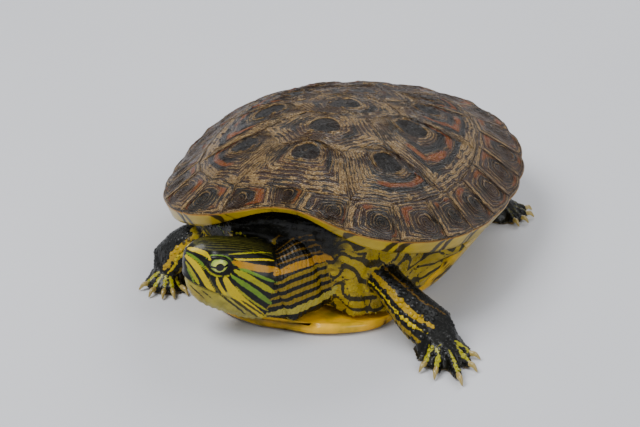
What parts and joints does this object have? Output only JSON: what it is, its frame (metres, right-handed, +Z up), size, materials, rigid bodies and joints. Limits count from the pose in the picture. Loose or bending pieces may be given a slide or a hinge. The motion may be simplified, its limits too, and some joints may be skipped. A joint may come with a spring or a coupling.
{
  "type": "slider turtle",
  "caption": "Life-size still model of a slider turtle at rest: low domed shell with a keel, head turned to its right, thick striped neck, webbed feet with claws and a short tail.",
  "frame": {"origin": "on the flat underside of the plastron, under the middle of the shell; the plastron and the soles lie in the plane z = 0", "axes": "+Z up; -Y is the way the shell faces, so the tail is at +Y; +X is the animal's left"},
  "size_m": [0.1764, 0.217, 0.0729],
  "materials": {
    "carapace_scute": "satin keratin, dark olive brown with tan growth ridges and rust crescents",
    "plastron_scute": "satin keratin, yellow-orange with dark loops on the bridge",
    "turtle_skin": "moist scaly skin, near black with yellow stripes",
    "turtle_head_skin": "smooth moist skin, olive with yellow and dark stripes",
    "turtle_eye": "clear wet eye, pale yellow-green iris with a dark bar",
    "turtle_claw": "satin horn"
  },
  "bodies": {
    "root": {"carapace": "carapace_scute", "head": "turtle_head_skin", "jaw": "turtle_head_skin", "left_eye": "turtle_eye", "left_forearm": "turtle_skin", "left_forefoot": "turtle_skin", "left_forefoot_claw_1": "turtle_claw", "left_forefoot_claw_2": "turtle_claw", "left_forefoot_claw_3": "turtle_claw", "left_forefoot_claw_4": "turtle_claw", "left_forefoot_claw_5": "turtle_claw", "left_hindfoot": "turtle_skin", "left_hindfoot_claw_1": "turtle_claw", "left_hindfoot_claw_2": "turtle_claw", "left_hindfoot_claw_3": "turtle_claw", "left_hindfoot_claw_4": "turtle_claw", "left_shank": "turtle_skin", "left_thigh": "turtle_skin", "left_upper_arm": "turtle_skin", "neck": "turtle_skin", "plastron": "plastron_scute", "right_eye": "turtle_eye", "right_forearm": "turtle_skin", "right_forefoot": "turtle_skin", "right_forefoot_claw_1": "turtle_claw", "right_forefoot_claw_2": "turtle_claw", "right_forefoot_claw_3": "turtle_claw", "right_forefoot_claw_4": "turtle_claw", "right_forefoot_claw_5": "turtle_claw", "right_hindfoot": "turtle_skin", "right_hindfoot_claw_1": "turtle_claw", "right_hindfoot_claw_2": "turtle_claw", "right_hindfoot_claw_3": "turtle_claw", "right_hindfoot_claw_4": "turtle_claw", "right_shank": "turtle_skin", "right_thigh": "turtle_skin", "right_upper_arm": "turtle_skin", "tail": "turtle_skin", "trunk": "turtle_skin"}
  },
  "joints": []
}
